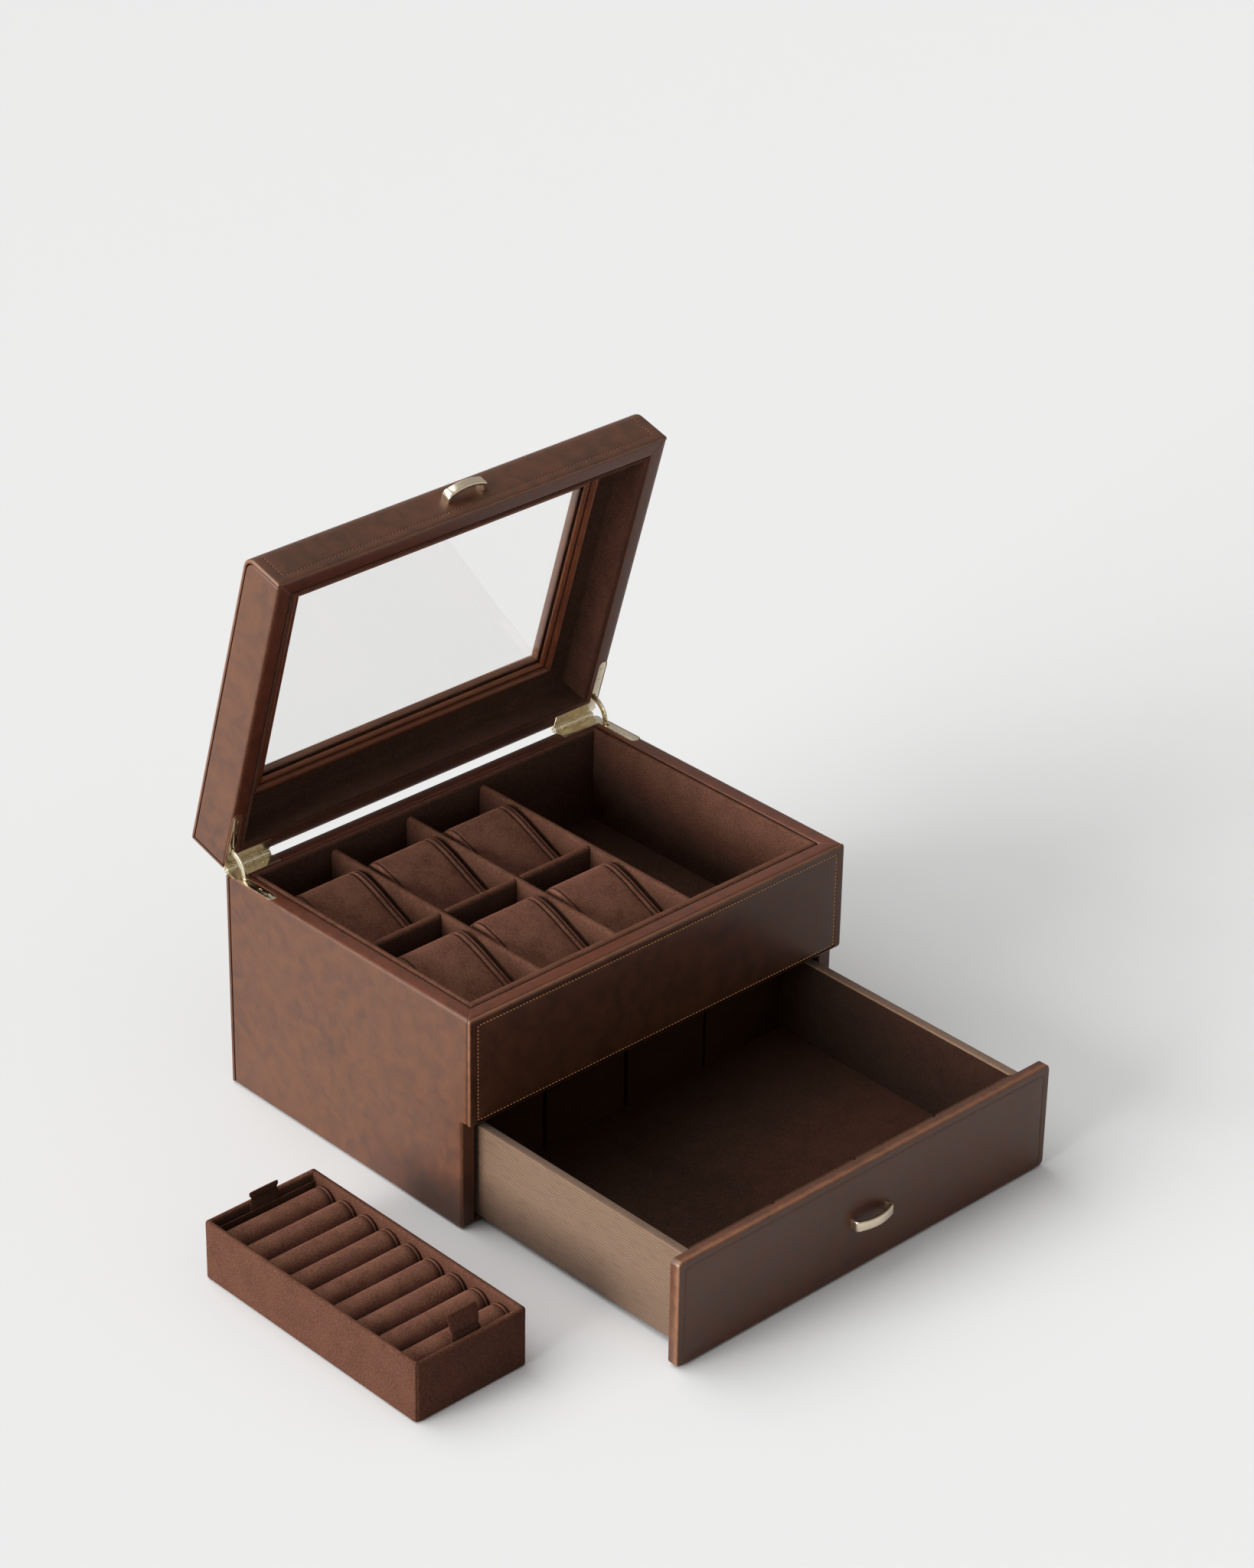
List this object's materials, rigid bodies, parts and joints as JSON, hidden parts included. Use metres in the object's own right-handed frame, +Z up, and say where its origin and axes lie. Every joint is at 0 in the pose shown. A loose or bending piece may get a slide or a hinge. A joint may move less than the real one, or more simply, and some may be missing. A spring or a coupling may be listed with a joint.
{
  "type": "leather jewellery case",
  "caption": "Open leather jewellery case: glazed lid on quadrant hinges, divided top with removable watch pillows, pull-out drawer and a lift-out ring tray.",
  "frame": {"origin": "middle of the case's underside, on the surface it stands on; the felt's lower face", "axes": "+X to the right seen from the front, +Y to the back, +Z up; the fascia and the drawer face -Y"},
  "size_m": [0.4817, 0.4745, 0.4096],
  "materials": {
    "case_leather": "smooth waxed calf, dark brown, satin sheen with a fine pore grain",
    "edge_leather": "burnished russet edge and bead leather, satin",
    "suede": "dark brown microsuede with a short mottled nap",
    "pillow_suede": "dark brown microsuede over foam",
    "linen": "tan ribbed linen, matt",
    "felt": "dark brown felt",
    "hinge_metal": "champagne nickel plate, polished",
    "pull_metal": "champagne nickel plate, satin polished",
    "glass": "clear float glass"
  },
  "bodies": {
    "root": {"side_panel_left": "case_leather", "side_panel_right": "case_leather", "back_panel": "case_leather", "base_panel": "case_leather", "base_felt": "felt", "mid_shelf": "suede", "fascia_rail": "case_leather", "front_fascia": "case_leather", "lining_left": "suede", "lining_right": "suede", "lining_front": "suede", "lining_back": "suede", "long_divider_1": "suede", "long_divider_2": "suede", "long_divider_3": "suede", "cross_divider_1": "suede", "cross_divider_2": "suede", "cross_divider_3": "suede", "case_hinge_leaf_left": "hinge_metal", "case_hinge_leaf_right": "hinge_metal", "hinge_pin_left": "hinge_metal", "hinge_pin_right": "hinge_metal"},
    "lid": {"lid_rail_front": "case_leather", "lid_rail_right": "case_leather", "lid_rail_back": "case_leather", "lid_rail_left": "case_leather", "window_frame": "case_leather", "glass_pane": "glass", "lid_lining": "suede", "glass_bead": "edge_leather", "lid_hinge_leaf_left": "hinge_metal", "lid_hinge_leaf_right": "hinge_metal", "lid_pull": "pull_metal"},
    "stay_left": {"stay_left": "hinge_metal"},
    "stay_right": {"stay_right": "hinge_metal"},
    "drawer": {"drawer_front": "case_leather", "drawer_side_left": "linen", "drawer_side_right": "linen", "drawer_inner_front": "suede", "drawer_back": "suede", "drawer_bottom": "suede", "drawer_pull": "pull_metal"},
    "tray": {"tray_shell": "suede", "ring_roll_1": "pillow_suede", "ring_roll_2": "pillow_suede", "ring_roll_3": "pillow_suede", "ring_roll_4": "pillow_suede", "ring_roll_5": "pillow_suede", "ring_roll_6": "pillow_suede", "ring_roll_7": "pillow_suede", "ring_roll_8": "pillow_suede", "ring_roll_9": "pillow_suede", "tray_tab_front": "suede", "tray_tab_rear": "suede"},
    "pillow_front_1": {"pillow_front_1": "pillow_suede"},
    "pillow_front_2": {"pillow_front_2": "pillow_suede"},
    "pillow_front_3": {"pillow_front_3": "pillow_suede"},
    "pillow_rear_1": {"pillow_rear_1": "pillow_suede"},
    "pillow_rear_2": {"pillow_rear_2": "pillow_suede"},
    "pillow_rear_3": {"pillow_rear_3": "pillow_suede"}
  },
  "joints": [
    {"name": "lid_hinge", "type": "hinge", "parent": "root", "child": "lid", "pos_m": [0, 0.1228, 0.1605], "axis": [-1, 0, 0], "range_deg": [-74, 21]},
    {"name": "stay_left_hinge", "type": "hinge", "parent": "root", "child": "stay_left", "pos_m": [-0.16, 0.1228, 0.1605], "axis": [-1, 0, 0], "range_deg": [-37.5, 11]},
    {"name": "stay_right_hinge", "type": "hinge", "parent": "root", "child": "stay_right", "pos_m": [0.16, 0.1228, 0.1605], "axis": [-1, 0, 0], "range_deg": [-37.5, 11]},
    {"name": "drawer_slide", "type": "slide", "parent": "root", "child": "drawer", "axis": [0, -1, 0], "range_m": [-0.189, 0.01]},
    {"name": "tray_lift", "type": "slide", "parent": "root", "child": "tray", "axis": [0, 0, 1], "range_m": [0, 0.1]},
    {"name": "pillow_front_1_lift", "type": "slide", "parent": "root", "child": "pillow_front_1", "axis": [0, 0, 1], "range_m": [0, 0.07]},
    {"name": "pillow_front_2_lift", "type": "slide", "parent": "root", "child": "pillow_front_2", "axis": [0, 0, 1], "range_m": [0, 0.07]},
    {"name": "pillow_front_3_lift", "type": "slide", "parent": "root", "child": "pillow_front_3", "axis": [0, 0, 1], "range_m": [0, 0.07]},
    {"name": "pillow_rear_1_lift", "type": "slide", "parent": "root", "child": "pillow_rear_1", "axis": [0, 0, 1], "range_m": [0, 0.07]},
    {"name": "pillow_rear_2_lift", "type": "slide", "parent": "root", "child": "pillow_rear_2", "axis": [0, 0, 1], "range_m": [0, 0.07]},
    {"name": "pillow_rear_3_lift", "type": "slide", "parent": "root", "child": "pillow_rear_3", "axis": [0, 0, 1], "range_m": [0, 0.07]}
  ],
  "couplings": [
    {"joint": "stay_left_hinge", "follows": "lid_hinge", "ratio": 0.5},
    {"joint": "stay_right_hinge", "follows": "lid_hinge", "ratio": 0.5}
  ]
}
